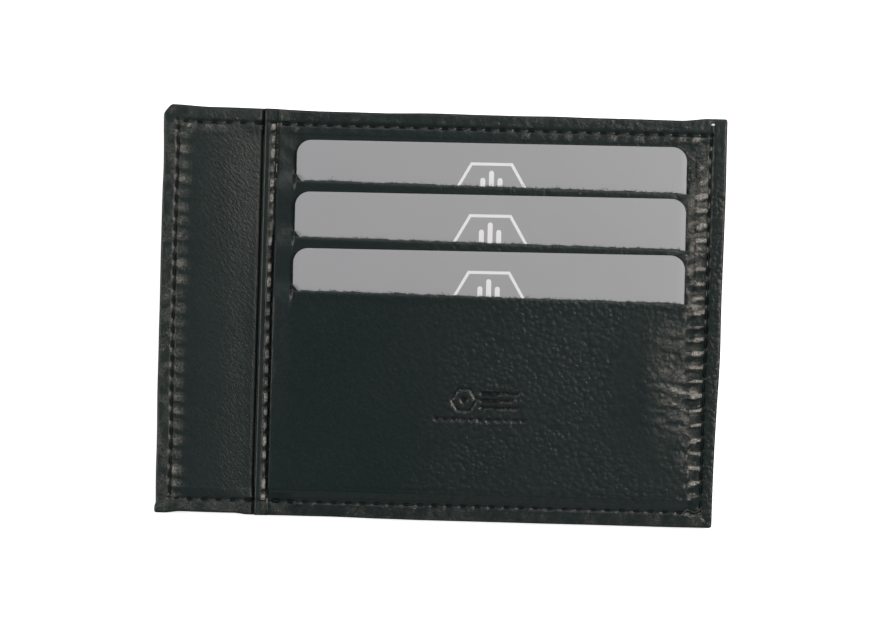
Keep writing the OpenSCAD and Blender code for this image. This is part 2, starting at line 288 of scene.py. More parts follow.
def right_fall(x, y):
    """How far the face has come down between the cards' right edge and the seam, 0 to 1. On a rib it
    comes down late."""
    x, y = floats(x, y)
    sway = 0.55 * drift(x * 0.4, y, 1.5, 91) * ease(CARD_RIGHT + 0.2, CARD_RIGHT + 1, x)
    ragged = x + sway * ease(SEAM_X - 0.6, SEAM_X - 1.6, x)
    low = ease(-19, -25, y)
    start = CARD_RIGHT + 0.3 + 1.5 * low - 0.8 * bump(y + 15, 9) + 0.4 * drift(7, y, 2.3, 94)
    hollow = unit((ragged - start) / (SEAM_X - 0.3 - start)) ** 1.06
    steep = 0.27 + 0.08 * ease(0, -8, y)
    rib = 0.15 * unit((x - CARD_RIGHT + 0.45) / 2.6)
    rib = rib + steep * unit((x - SEAM_X + 3.2) / 2.3)
    rib = rib + (0.85 - steep) * ease(SEAM_X - 1.0, SEAM_X - 0.05, x)
    # a rib widens away from the seam, so a hollow runs out to a point
    crest = right_crest(x, y) ** (1 - 0.75 * unit((SEAM_X - 1.4 - x) / 3.4))
    return hollow + (rib - hollow) * (0.95 - 0.25 * ease(0, 8, y)) * crest


def bottom_lift(x, y):
    """Over the cards' foot the rim itself rises towards the seam."""
    x, y = floats(x, y)
    lift = 0.9 * ease(-HALF_H + 0.2, -SEAM_Y - 0.2, y) * ease(-SEAM_Y + 3, -SEAM_Y, y)
    return lift * ease(-34, -30, x) * ease(57.4, 54.5, x)


def front_face(zone, x, y):
    """Height of the front panel's face; how light it is painted there, for rubbing and for highlights on ribs
    and bends; and how dark, for painted shade.
    """
    x, y = floats(x, y)
    zone = np.asarray(zone)
    faces = [field_of(k, y) for k in (-1, 0, 1, 2)]
    own = np.choose(zone + 1, faces)
    joined = faces[0]
    for k in range(3):
        cut = slit_at(k, x)
        s = ease(cut + 3.2, cut - 3.2, y)
        joined = joined * (1 - s) + faces[k + 1] * s
    beyond = np.maximum(ease(CARD_LEFT - 0.05, SLIT_LEFT, x), ease(CARD_RIGHT + 0.05, SLIT_RIGHT, x))
    field = own * (1 - beyond) + joined * beyond
    z = field + (RIM_TOP - field) * right_fall(x, y)
    middle = bump(y + 13, 11)
    z = z + 0.7 * middle * bump(x - 45.5, 5.5)
    foot = unit((FOOT_Y + 0.8 - y) / (FOOT_Y + 0.8 + SEAM_Y))
    z = z + (RIM_TOP + bottom_lift(x, y) - z) * (0.35 * foot + 0.65 * foot * foot * (3 - 2 * foot))
    quick = 0.78 - 0.35 * ease(SLIT_Y[0] + 1, SLIT_Y[0] + 5, y)
    slow = unit((x - FOLD_SEAM_X - 0.2) / (CARD_LEFT - 0.2 - FOLD_SEAM_X - 0.2))
    slow = 0.7 * slow + 0.3 * slow * slow * (3 - 2 * slow)
    climb = quick * unit((x - FOLD_SEAM_X + 0.1) / 0.55) + (1 - quick) * slow
    z = FOLD_TOP + (z - FOLD_TOP) * climb
    # the fold's own rim and the rim beside it keep their step
    relief, wear_and_highlight, dark = rim_relief(x, y)
    wear_and_highlight = np.maximum(wear_and_highlight, margin_wear(x, y))
    calm = ease(FOLD_SEAM_X - 0.5, FOLD_SEAM_X + 2, x)
    z = z + relief * (0.5 + 0.5 * calm)
    fold, fold_rub_and_highlight, fold_painted_shade = seam_relief(
        FOLD_SEAM_X - x, y, 2 * FOLD_SEAM_Y, 0.3, 0.02, 41, 0.3, 1.0, (0.62, 0.1))
    near_fold = np.abs(y) < SEAM_Y
    z = z + np.where(near_fold, fold, 0)
    crown = bump(x - (MOUTH_X + 1.55), 0.8)
    z = z + 0.07 * crown * (1 + 0.6 * drift(x, y, 2.1, 43)) - 0.07 * bump(x - (MOUTH_X + 1.15), 0.16)
    # drawn wrinkles that run in from the right-hand seam
    draw = ease(43, 52, x) * ease(58.2, 56.5, x)
    wrinkle = drift(x * 0.3 + 1.2 * drift(x, y, 7, 45), y + 0.12 * x, 1.1, 44)
    wrinkle = wrinkle + 0.5 * drift(x * 0.6, y, 0.6, 48)
    z = z + 0.1 * draw * wrinkle * (0.35 + 0.65 * ease(12, -6, y)) * (1 - 0.7 * ease(-22, -34, y))
    left_draw = ease(-27, -34, x) * ease(-36.6, -35, x)
    z = z + 0.08 * left_draw * drift(x * 0.5, y + 0.5 * x, 2.3, 46)
    # soft waves of a skin that lies on cards
    wave = 0.05 * drift(x, y, 11, 47) * ease(-36, -28, x) * ease(58, 50, x)
    z = z + wave * np.where(zone == 2, 1, 0.3)
    z = z - 0.05 * bump(y - (FOOT_Y + 1.1), 0.35) * ease(-34, -30, x) * ease(54, 50, x)
    for k in range(3):
        lip = slit_at(k, x) - y
        over = np.where(zone == k, 1.0, 0.0) * (1 - beyond)
        z = z + over * (0.05 * bump(lip - 0.9, 0.8) - 0.16 * bump(lip, 0.32))
    z = z - 0.26 * blind_stamp(x, y) * np.where(zone == 2, 1, 0)
    z = z - round_over(np.minimum(HALF_H - np.abs(y), HALF_W - x), 0.5)
    z = z - round_over(x - MOUTH_X, 0.45)
    # Painted highlights, carried along with real rubbing: where the leather bends down past the cards' right
    # edge, at the slits' right ends, on the upper right-hand slope, along the fold's crown and its ribs, and
    # on the crests of the right-hand ribs. There is also a lighter speckled patch by the cards' left edge.
    slit_end_highlight = sum(bump(y - SLIT_Y[k] + 0.6, 1.8) for k in range(3)) * bump(x - 55.7, 2.1)
    shoulder_highlight = 0.22 + 0.9 * middle + 0.35 * bump(y + 28, 8) * ease(51, 55, x) + 0.15 * ease(4, 12, y)
    shoulder_highlight = draw * shoulder_highlight * ease(-40, -30, y) * ease(43, 38, y) + 0.72 * slit_end_highlight
    shoulder_highlight = shoulder_highlight * np.clip(0.58 + 0.68 * wrinkle, 0, 1.2)
    corner = bump(x + 35.6, 1.4) * bump(y - SLIT_Y[1] - 1, 2.6) * np.clip(0.6 + drift(x, y, 0.9, 99), 0, 1.2)
    upper = ease(CARD_RIGHT, CARD_RIGHT + 0.5, x) * ease(SEAM_X - 0.2, SEAM_X - 0.7, x)
    upper = upper * ease(-2, 4, y) * ease(38, 34, y) * unit(0.4 + 1.1 * drift(x, y, 1.0, 96))
    ribs = right_crest(x, y) ** 1.4 * ease(54.6, 56.4, x) * ease(58.5, 58.0, x)
    wear_and_highlight = wear_and_highlight + fold_rub_and_highlight * np.where(near_fold, 1, 0) + 0.18 * crown * near_fold + 0.75 * shoulder_highlight
    wear_and_highlight = wear_and_highlight + (1 - 0.22 * ease(-6, 6, y)) * ribs + 0.2 * corner + 0.27 * upper
    # Painted shade: a thin dark line on the slope beside the cards' right edge, and darkening over the fold's
    # stitches and along the top of the wall beside them.
    dark = dark + 0.9 * bump(x - CARD_RIGHT - 2.1, 0.24) * ease(4, 9, y) * ease(38, 35, y)
    dark = dark + np.where(near_fold, fold_painted_shade + 0.25 * bump(x - FOLD_SEAM_X - 0.25, 0.35), 0)
    return z, unit(wear_and_highlight), dark


def side_face(x, y):
    """Height of the side strip's face; how light it is painted there, for rubbing and for highlight; and how
    dark, for painted shade.
    """
    x, y = floats(x, y)
    relief, wear_and_highlight, dark = rim_relief(x, y)
    wear_and_highlight = np.maximum(wear_and_highlight, margin_wear(x, y))
    puff = ease(-SEAM_X + 0.2, -SEAM_X + 3.2, x) * ease(-SEAM_Y + 0.2, -SEAM_Y + 3, y)
    puff = puff * ease(SEAM_Y - 0.2, SEAM_Y - 3, y)
    droop = ease(-49, MOUTH_X + 0.2, x)
    z = RIM_TOP + relief + 0.3 * puff * (1 - droop) - 0.25 * droop * puff
    z = z - 0.6 * ease(MOUTH_X - 0.75, MOUTH_X + 0.15, x)
    z = z + 0.045 * drift(x, y, 9, 51) * puff + 0.02 * drift(x * 1.4 + y * 0.5, y, 3.2, 52) * puff
    z = z - round_over(np.minimum(HALF_H - np.abs(y), x + HALF_W), 0.5)
    # a painted highlight on the strip's upper part, where it falls towards the gap
    gap_highlight = ease(-47, -41.5, x) * ease(0, 26, y) * ease(41, 36, y)
    # painted shade in the gap under the fold's edge
    return z, unit(wear_and_highlight + 0.25 * gap_highlight), dark + 0.9 * ease(MOUTH_X - 0.25, MOUTH_X + 0.15, x)


# ---- meshes


def lines(start, *stretches):
    """Grid lines from start on, over stretches (end, step)."""
    out = [start]
    for end, step in stretches:
        n = max(1, round(abs(end - start) / step))
        out.extend(np.linspace(start, end, n + 1)[1:])
        start = end
    return np.array(out)


def rolled(start, sign):
    """Close lines by an edge, to carry its round: offsets from start, inwards."""
    return start + sign * np.array([0, 0.03, 0.1, 0.2, 0.34, 0.52, 0.8])


def framed(low, high, *stretches):
    """Grid lines from edge to edge, close together over the round of each edge."""
    inner = lines(low + 0.95, *stretches, (high - 0.95, 0.3))
    return np.concatenate([rolled(low, 1), inner, rolled(high, -1)[::-1]])


def corner_round(x, y, low, high, radius):
    """Bends the lines of a rectangular grid round its corners; a wide corner is cut straight across."""
    x, y = np.array(x, float), np.array(y, float)
    for sx, sy, r in radius:
        cx = (high[0] - r) if sx > 0 else (low[0] + r)
        cy = (high[1] - r) if sy > 0 else (low[1] + r)
        u, v = (x - cx) * sx / r, (y - cy) * sy / r
        near = (u > 0) & (v > 0)
        if r > 1:
            size = np.minimum(1, 1.22 * np.maximum(u, v) / np.maximum(u + v, 1e-6))
            fu, fv = size, size
        else:
            fu, fv = np.sqrt(np.maximum(1 - v * v / 2, 0)), np.sqrt(np.maximum(1 - u * u / 2, 0))
        x, y = np.where(near, cx + sx * r * u * fu, x), np.where(near, cy + sy * r * v * fv, y)
    return x, y


def grid_quads(index):
    """Quads over a table of vertex numbers whose rows run up and columns run right, facing up."""
    a, b, c, d = index[:-1, :-1], index[:-1, 1:], index[1:, 1:], index[1:, :-1]
    return np.stack([a, b, c, d], -1).reshape(-1, 4)


def ruled(columns, rows):
    """The points and the faces of a plain grid."""
    x, y = (g.ravel() for g in np.meshgrid(columns, rows))
    return x, y, grid_quads(np.arange(len(x)).reshape(len(rows), len(columns)))


def place_object(name, data):
    obj = bpy.data.objects.new(name, data)
    bpy.context.scene.collection.objects.link(obj)
    return obj


def make_mesh(name, points, faces, attributes=None, smooth=CREASE):
    """A mesh object from millimetre points and a list or an array of faces."""
    mesh = bpy.data.meshes.new(name)
    faces = faces if isinstance(faces, list) else faces.tolist()
    mesh.from_pydata((np.asarray(points) * MM).tolist(), [], faces)
    mesh.validate()
    mesh.polygons.foreach_set("use_smooth", np.ones(len(mesh.polygons), bool))
    if smooth:
        mesh.set_sharp_from_angle(angle=math.radians(smooth))
    for key, values in (attributes or {}).items():
        mesh.attributes.new(key, "FLOAT", "POINT").data.foreach_set("value", np.asarray(values, np.float32))
    mesh.update()
    return place_object(name, mesh)


def slab(name, quads, top, bottom, attributes=None, smooth=CREASE):
    """A closed piece from faces that a top and a bottom skin share, with walls round open edges."""
    n = len(top)
    edges = np.concatenate([quads[:, [0, 1]], quads[:, [1, 2]], quads[:, [2, 3]], quads[:, [3, 0]]])
    key = np.sort(edges, 1)
    _, where, count = np.unique(key, axis=0, return_inverse=True, return_counts=True)
    rim = edges[count[where.ravel()] == 1]
    walls = np.stack([rim[:, 1], rim[:, 0], rim[:, 0] + n, rim[:, 1] + n], 1)
    faces = np.concatenate([quads, quads[:, ::-1] + n, walls])
    values = {}
    for label, value in (attributes or {}).items():
        # a leather's underside is its raw side
        under = np.ones_like(value) if label == "raw" else value
        values[label] = np.concatenate([value, under])
    return make_mesh(name, np.concatenate([top, bottom]), faces, values, smooth)


def thin_underside(obj, hidden, most):
    """Merges faces of the hidden points' skin until the piece has that many triangles."""
    group = obj.vertex_groups.new(name="hidden")
    group.add([int(i) for i in hidden], 1.0, "REPLACE")
    modifier = obj.modifiers.new("thin", "DECIMATE")
    modifier.ratio = most / (2 * len(obj.data.polygons))
    modifier.vertex_group = "hidden"
    bpy.context.view_layer.update()
    evaluated = obj.evaluated_get(bpy.context.evaluated_depsgraph_get())
    thinned = bpy.data.meshes.new_from_object(evaluated)
    obj.modifiers.remove(modifier)
    obj.vertex_groups.remove(group)
    obj.data = thinned
    thinned.set_sharp_from_angle(angle=math.radians(CREASE))
    return obj


def build_front():
    columns = framed(MOUTH_X, HALF_W, (FOLD_SEAM_X - 0.1, 0.16), (FOLD_SEAM_X + 0.45, 0.14),
                     (SLIT_LEFT, 0.3), (CARD_LEFT + 2.1, 0.17), (-2.1, 0.65), (20.4, 0.28), (48, 0.62),
                     (CARD_RIGHT - 0.4, 0.32), (SLIT_RIGHT, 0.18), (SEAM_X + 0.8, 0.22))
    cuts = [np.full_like(columns, -HALF_H), *(cut_at(k, columns) for k in (2, 1, 0)),
            np.full_like(columns, HALF_H)]
    # how the rows of each zone are spaced, as places between its two edges at the middle
    low_rows = lines(-HALF_H + 0.95, (-SEAM_Y - 0.6, 0.3), (-37.5, 0.22), (-23.2, 0.36), (-14.8, 0.26),
                     (SLIT_Y[2] - 1.2, 0.42), (SLIT_Y[2], 0.15))
    mid = [lines(SLIT_Y[k + 1], (SLIT_Y[k + 1] + 1.4, 0.35), (SLIT_Y[k] - 1.2, 0.55), (SLIT_Y[k], 0.15))
           for k in (1, 0)]
    high_rows = lines(SLIT_Y[0], (SLIT_Y[0] + 1.4, 0.35), (37.5, 0.6), (SEAM_Y + 0.6, 0.22),
                      (HALF_H - 0.95, 0.3))
    spacing = [np.concatenate([rolled(-HALF_H, 1), low_rows]), *mid,
               np.concatenate([high_rows, rolled(HALF_H, -1)[::-1]])]
    shared = (columns <= SLIT_LEFT + 1e-6) | (columns >= SLIT_RIGHT - 1e-6)
    xs, ys, zones, tables, made = [], [], [], [], 0
    for number, rows in enumerate(spacing):
        t = (rows - rows[0]) / (rows[-1] - rows[0])
        low, high = cuts[number], cuts[number + 1]
        y = low + (high - low) * t[:, None]
        x = np.broadcast_to(columns, y.shape)
        index = np.full(y.shape, -1)
        if tables:
            index[0, shared] = tables[-1][-1, shared]
        new = index < 0
        count = int(new.sum())
        index[new] = made + np.arange(count)
        made += count
        xs.append(x[new])
        ys.append(y[new])
        zones.append(np.full(count, 2 - number))
        tables.append(index)
    x, y, zone = np.concatenate(xs), np.concatenate(ys), np.concatenate(zones)
    z, wear_and_highlight, dark = front_face(zone, x, y)
    edge = np.minimum(HALF_W - x, HALF_H - np.abs(y))
    hem = ease(HEM_W + 0.4, HEM_W - 0.4, edge) * ease(SLIT_LEFT - 1, SLIT_LEFT, x)
    under = z - LEATHER
    under = under + (POCKET_FLOOR - under) * hem
    at_fold = ease(FOLD_SEAM_X + 1.2, FOLD_SEAM_X + 0.4, x)
    in_rim = ease(SEAM_Y - 1.4, SEAM_Y - 0.8, np.abs(y))
    under = under + (FOLD_UNDER - MOUTH_GAP * in_rim + 0.02 - under) * at_fold
    under = under + round_over(edge, 0.2) + round_over(x - MOUTH_X, 0.35) * (1 - in_rim)
    px, py = warp(*corner_round(x, y, (-1e3, -HALF_H), (HALF_W, HALF_H), ((1, 1, 0.5), (1, -1, 0.6))))
    by_rim = 0.3 + 0.7 * ease(2.9, HEM_W, edge) + 0.6 * ease(2.4, 1.8, edge)
    pebble = (ease(-30, 30, x + 0.2 * (x - y)) * 0.75 + 0.25) * by_rim
    raw = np.zeros_like(x)
    for k in range(3):
        raw = np.maximum(raw, bump(y - cut_at(k, x), 0.16) * (x > SLIT_LEFT) * (x < SLIT_RIGHT) * (zone == k))
    quads = np.concatenate([grid_quads(t) for t in tables])
    # near-black over the stamped figure, and as painted shade in needle holes, grooves and beside the fold's
    # stitches
    stamp_and_painted_shade = unit(0.8 * blind_stamp(x, y) * (zone == 2) + dark)
    # a painted gradient of light: lighter towards the right, where the strongest lamp stands, darker again
    # past the right-hand seam, a little lighter by the fold
    tone_and_painted_light = 0.62 * ease(-20, 40, x) * (1 - 0.6 * ease(57.5, 59.5, x)) + 0.1 * ease(CARD_LEFT, MOUTH_X, x)
    attributes = {"wear_and_highlight": wear_and_highlight, "pebble": pebble, "raw": raw, "streak": np.zeros_like(x),
                  "stamp_and_painted_shade": stamp_and_painted_shade, "tone_and_painted_light": tone_and_painted_light}
    front = slab("leather_front", quads, np.stack([px, py, z], 1), np.stack([px, py, under], 1), attributes)
    # the underside stays as fine as the face beside the fold and the slits, so it can't poke through
    clear_of_fold = (x < FOLD_SEAM_X - 0.3) | (x > CARD_LEFT + 0.6) | (y < SLIT_Y[2] - 3)
    inner = (edge > 1) & (x > MOUTH_X + 1) & clear_of_fold
    for k in range(3):
        inner &= (np.abs(y - cut_at(k, x)) > 0.8) | (x < SLIT_LEFT - 0.5) | (x > SLIT_RIGHT + 0.5)
    return thin_underside(front, len(x) + np.nonzero(inner)[0], MOST_TRIANGLES)


def build_side():
    columns = lines(-HALF_W + 0.95, (-SEAM_X - 0.7, 0.3), (-54, 0.22), (-43, 0.55), (STRIP_END, 0.4))
    rows = framed(-HALF_H, HALF_H, (-SEAM_Y - 0.6, 0.3), (-38, 0.22), (38, 0.38), (SEAM_Y + 0.6, 0.22))
    x, y, quads = ruled(np.concatenate([rolled(-HALF_W, 1), columns]), rows)
    z, wear_and_highlight, dark = side_face(x, y)
    tucked = ease(MOUTH_X - 0.3, MOUTH_X + 0.3, x)
    z = np.minimum(z, RIM_TOP + 0.6 * (1 - tucked) - 0.01)
    edge = np.minimum(x + HALF_W, HALF_H - np.abs(y))
    hem = ease(HEM_W + 0.3, HEM_W - 0.3, edge)
    under = np.maximum((z - LEATHER) * (1 - hem) + POCKET_FLOOR * hem, POCKET_FLOOR)
    under = np.minimum(under, z - 0.12) + round_over(edge, 0.2)
    px, py = warp(*corner_round(x, y, (-HALF_W, -HALF_H), (1e3, HALF_H), ((-1, 1, 1.9), (-1, -1, 0.5))))
    zero = np.zeros_like(x)
    streak = ease(-60, -50, x) * (0.55 + 0.3 * ease(-5, 30, y))
    # press here is only painted shade: needle holes, grooves and the gap under the fold's edge
    attributes = {"wear_and_highlight": wear_and_highlight, "pebble": zero + 0.15, "raw": zero, "stamp_and_painted_shade": unit(dark),
                  # tone: a painted gradient of light, lighter towards the top, where a lamp stands
                  "streak": streak, "tone_and_painted_light": zero + 0.28 + 0.16 * ease(-20, 35, y)}
    return slab("leather_side", quads, np.stack([px, py, z], 1), np.stack([px, py, under], 1),
                attributes)



def build_back():
    columns, rows = (framed(-half, half, (-stitch - 0.8, 0.3), (-stitch + 2, 0.22),
                            (stitch - 2, 0.9), (stitch + 0.8, 0.22))
                     for half, stitch in ((HALF_W, SEAM_X), (HALF_H, SEAM_Y)))
    x, y, quads = ruled(columns, rows)
    edge = edge_distance(x, y)
    groove = bump(SEAM_X - np.abs(x), 0.42) * (np.abs(y) < SEAM_Y + 0.4)
    groove = np.maximum(groove, bump(SEAM_Y - np.abs(y), 0.42) * (np.abs(x) < SEAM_X + 0.4))
    low = 0.42 * groove + round_over(edge, 0.5)
    high = BACK_TOP - HEM * ease(HEM_W - 0.05, HEM_W + 0.05, edge) - round_over(edge, 0.2)
    px, py = warp(*corner_round(x, y, (-HALF_W, -HALF_H), (HALF_W, HALF_H),
                                ((-1, 1, 1.9), (-1, -1, 0.5), (1, 1, 0.5), (1, -1, 0.6))))
    zero = np.zeros_like(x)
    wear_and_highlight = 0.25 * bump(edge - 0.3, 0.5)
    return slab("leather_back", quads, np.stack([px, py, high], 1), np.stack([px, py, low], 1),
                {"wear_and_highlight": wear_and_highlight, "pebble": zero + 0.7, "raw": zero, "streak": zero, "tone_and_painted_light": zero + 0.3})


# ---- threads


def ring_faces(rings, sides):
    """Faces over rings of that many points each, closed at both ends."""
    faces = []
    for i in range(rings - 1):
        for j in range(sides):
            n = (j + 1) % sides
            faces.append([i * sides + j, i * sides + n, (i + 1) * sides + n, (i + 1) * sides + j])
    faces.append(list(range(sides))[::-1])
    faces.append([(rings - 1) * sides + j for j in range(sides)])
    return faces


def tube(path, radius, sides=8, twist=0.5, ply=0.1):
    """Rings of a two-ply thread along a path, closed at both ends: points and faces."""
    path = np.asarray(path, float)
    tangent = np.gradient(path, axis=0)
    tangent /= np.linalg.norm(tangent, axis=1)[:, None]
    side = np.cross(tangent, [0, 0, 1.0])
    side /= np.maximum(np.linalg.norm(side, axis=1), 1e-9)[:, None]
    up = np.cross(side, tangent)
    run = np.concatenate([[0], np.cumsum(np.linalg.norm(np.diff(path, axis=0), axis=1))])
    angle = np.linspace(0, 2 * np.pi, sides, endpoint=False)
    swell = 1 + ply * np.cos(2 * (angle[None, :] - 2 * np.pi * run[:, None] / twist))
    swell[[0, -1]] *= 0.55
    cos, sin = np.cos(angle)[None, :, None], np.sin(angle)[None, :, None]
    ring = path[:, None] + radius * swell[..., None] * (cos * side[:, None] + sin * up[:, None])
    return ring.reshape(-1, 3), ring_faces(len(path), sides)


def joined(parts):
    """One array of points and one list of faces from several pairs of them."""
    faces, made = [], 0
    for points, own_faces in parts:
        faces.extend([[v + made for v in face] for face in own_faces])
        made += len(points)
    return np.concatenate([points for points, _ in parts]), faces


def seam(name, runs, radius, replaced, share=0.56):
    """Stitches along runs, each (a, b, count, height function, dip, lift); share is how much of the
    pitch a stitch covers."""
    parts = []
    rng = np.random.default_rng(61)
    for a, b, count, height, dip, lift in runs:
        a, b = np.array(a, float), np.array(b, float)
        step = (b - a) / count
        across = np.array([-step[1], step[0]]) / np.linalg.norm(step)
        for i in range(count):
            slant = rng.uniform(-0.06, 0.06) + 0.05
            t = np.linspace(0.5 - share / 2, 0.5 + share / 2, 9)
            plan = a + step * (i + t)[:, None] + across * ((t - 0.5) * 2 * slant)[:, None]
            arch = 1 - np.abs(2 * (t - 0.5) / share) ** 3
            z = height(plan[:, 0], plan[:, 1]) + lift * arch - dip * (1 - arch)
            px, py = warp(plan[:, 0], plan[:, 1])
            parts.append(tube(np.stack([px, py, z], 1), radius))
    obj = make_mesh(name, *joined(parts), smooth=60)
    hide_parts(replaced)
    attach(obj, "holder")
    return obj


def rim_height(x, y):
    """The face that the rim's stitches lie on, without the needle holes."""
    x, y = floats(x, y)
    level = FOLD_TOP + (RIM_TOP - FOLD_TOP) * ease(FOLD_SEAM_X + 0.6, CARD_LEFT - 0.3, x)
    return np.where(x < MOUTH_X, RIM_TOP, level + bottom_lift(x, y))


def build_fibres():
    """The fuzz that stands out of the slits' cut edges."""
    rng = np.random.default_rng(67)
    parts = []
    for k in range(3):
        xs = np.arange(CARD_LEFT + 1.3, CARD_RIGHT - 0.3, 0.13)
        xs = xs + rng.uniform(-0.1, 0.1, len(xs))
        roots = cut_at(k, xs) - 0.06
        levels = front_face(np.full(len(xs), k), xs, roots - 0.02)[0]
        for x, root_y, level in zip(xs, roots, levels):
            length = 0.12 + rng.exponential(0.13) * (2.2 if rng.random() < 0.05 else 1)
            turn, rise, bend = rng.normal(0, 0.7), rng.uniform(-0.5, 0.35), rng.normal(0, 0.8)
            z = level - rng.uniform(0.1, 0.5)
            t = np.linspace(0, 1, 4)
            angle = turn + bend * t
            step = np.minimum(length, 1.1) * t
            path = np.stack([x + step * np.sin(angle), root_y + step * np.cos(angle), z + step * rise], 1)
            path[:, 2] = np.maximum(path[:, 2], on_card(k, path[:, 1], CARD_T / 2) + 0.05)
            parts.append(tube(path, 0.034, 4, ply=0))
    obj = make_mesh("slit_fuzz", *joined(parts))
    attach(obj, "holder")
    return obj


def build_thread_ends():
    """The tail left over the lower right-hand corner, and the melted end at the upper one, whose pale colour
    is a painted glint.
    """
    knots = np.array([(59.1, -40.3, 0.3), (58.2, -41.1, 0.32), (57.3, -41.6, 0.3), (56.2, -41.2, 0.32),
                      (55.3, -40.9, 0.35), (54.6, -41.7, 0.3), (53.7, -42.7, 0.2)])
    t = np.linspace(0, len(knots) - 1, 34)
    path = np.stack([np.interp(t, np.arange(len(knots)), knots[:, i]) for i in range(3)], 1)
    for _ in range(3):
        path[1:-1] = (path[:-2] + 2 * path[1:-1] + path[2:]) / 4
    path[:, 2] += np.maximum(front_face(np.full(34, 2), path[:, 0], path[:, 1])[0], RIM_TOP - 0.1) - 0.12
    px, py = warp(path[:, 0], path[:, 1])
    points, faces = tube(np.stack([px, py, path[:, 2]], 1), 0.13, twist=0.8)
    tail = make_mesh("thread_tail", points, faces, smooth=60)
    lobes, rings = 14, 8
    points, faces = [(0, 0, -0.3)], []
    for i in range(1, rings):
        a = math.pi * i / rings
        for j in range(lobes):
            b = 2 * math.pi * j / lobes
            r = math.sin(a) * (0.36 + 0.05 * math.sin(2 * b + 1))
            points.append((r * math.cos(b), r * math.sin(b) * 0.85, -0.3 * math.cos(a)))
    points.append((0.03, 0, 0.3))
    for j in range(lobes):
        n = (j + 1) % lobes
        faces.append([0, 1 + n, 1 + j])
        for i in range(rings - 2):
            low, high = 1 + i * lobes, 1 + (i + 1) * lobes
            faces.append([low + j, low + n, high + n, high + j])
        last = 1 + (rings - 2) * lobes
        faces.append([last + j, last + n, len(points) - 1])
    cx, cy = warp(np.array([SEAM_X + 0.2]), np.array([SEAM_Y + 1.9]))
    bead = make_mesh("thread_bead_glint", np.array(points) + [cx[0], cy[0], RIM_TOP + 0.12], faces, smooth=0)
    for piece in (tail, bead):
        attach(piece, "holder")
    return tail, bead


# ---- linings


def bent_sheet(name, profile, x_low, x_high, replaced, seed=71):
    """A cloth sheet whose section is the list of (y, z) points of its underside, with a slight waviness."""
    profile = np.asarray(profile, float)
    leg = np.concatenate([[0], np.cumsum(np.linalg.norm(np.diff(profile, axis=0), axis=1))])
    s = np.unique(np.concatenate([leg, np.arange(0, leg[-1], 1.2)]))
    y, z = np.interp(s, leg, profile[:, 0]), np.interp(s, leg, profile[:, 1])
    xs = np.linspace(x_low, x_high, 60)
    gx, gs = np.meshgrid(xs, s)
    slope = np.stack([np.gradient(y, s), np.gradient(z, s)], 1)
    normal = np.stack([-slope[:, 1], slope[:, 0]], 1)
    wave = 0.008 * drift(gx, gs, 5, seed)

    def skin(lift):
        layer = [gx, y[:, None] + normal[:, 0:1] * lift, z[:, None] + normal[:, 1:2] * lift]
        return np.stack(layer, -1).reshape(-1, 3)

    quads = grid_quads(np.arange(gx.size).reshape(gx.shape))
    obj = slab(name, quads, skin(wave + LINING * 0.85), skin(wave), smooth=40)
    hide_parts(replaced)
    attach(obj, "holder")
    return obj


def build_linings():
    out = []
    low, high = CARD_LEFT - 1.05, CARD_RIGHT + 1.05
    for k in range(3):
        box_low, box_high = node_box(f"pocket_lining_{k + 1}")
        foot, end = box_low[1], box_high[1]
        under = lambda y, k=k: on_card(k, y, -CARD_T / 2) - SHEET_DROP
        if k == 0:
            level = box_low[2]
            profile = [(foot + 0.02, box_high[2]), (foot + 0.02, level), (end, level)]
        else:
            head = float(slit_at(k, high)) - 0.12
            tab = lambda y, k=k: field_of(k - 1, np.array(y)) - LEATHER - LINING - 0.01
            profile = [(foot + 0.02, under(foot)), (head, under(head)), (head, float(tab(head))),
                       (end, float(tab(end)))]
            if k == 1:
                turned = box_high[2] if box_high[2] < under(foot) + 1.5 else under(foot) + 0.4
                profile.insert(0, (foot + 0.02, turned))
        out.append(bent_sheet(f"pocket_cloth_{k + 1}", profile, low, high, f"pocket_lining_{k + 1}",
                              seed=72 + k))
    lo, hi = node_box("front_lining")
    out.append(bent_sheet("note_pocket_cloth_front", [(lo[1], lo[2]), (hi[1], lo[2])],
                          CARD_LEFT - 1.0, hi[0], "front_lining",
                          78))
    lo, hi = node_box("back_lining")
    out.append(bent_sheet("note_pocket_cloth_back", [(lo[1], lo[2] + 0.005), (hi[1], lo[2] + 0.005)],
                          lo[0], hi[0], "back_lining",
                          79))
    return out


# ---- cards


def round_outline(w, h, r, inset, steps=10):
    points = []
    for sx, sy, start in ((1, 1, 0), (-1, 1, 90), (-1, -1, 180), (1, -1, 270)):
        cx, cy = sx * (w / 2 - r), sy * (h / 2 - r)
        for i in range(steps + 1):
            a = math.radians(start + 90 * i / steps)
            points.append((cx + (r - inset) * math.cos(a), cy + (r - inset) * math.sin(a)))
    return np.array(points)


def card_place(k, points):
    """Card coordinates, across, along and up from its centre, to the frame's."""
    c = CARDS[k]
    cs, sn, cl, sl = math.cos(c["skew"]), math.sin(c["skew"]), math.cos(c["lean"]), math.sin(c["lean"])
    p = np.asarray(points, float)
    x, y = p[:, 0] * cs - p[:, 1] * sn, p[:, 0] * sn + p[:, 1] * cs
    return np.stack([x, y * cl - p[:, 2] * sl, y * sl + p[:, 2] * cl], 1) + c["centre"]


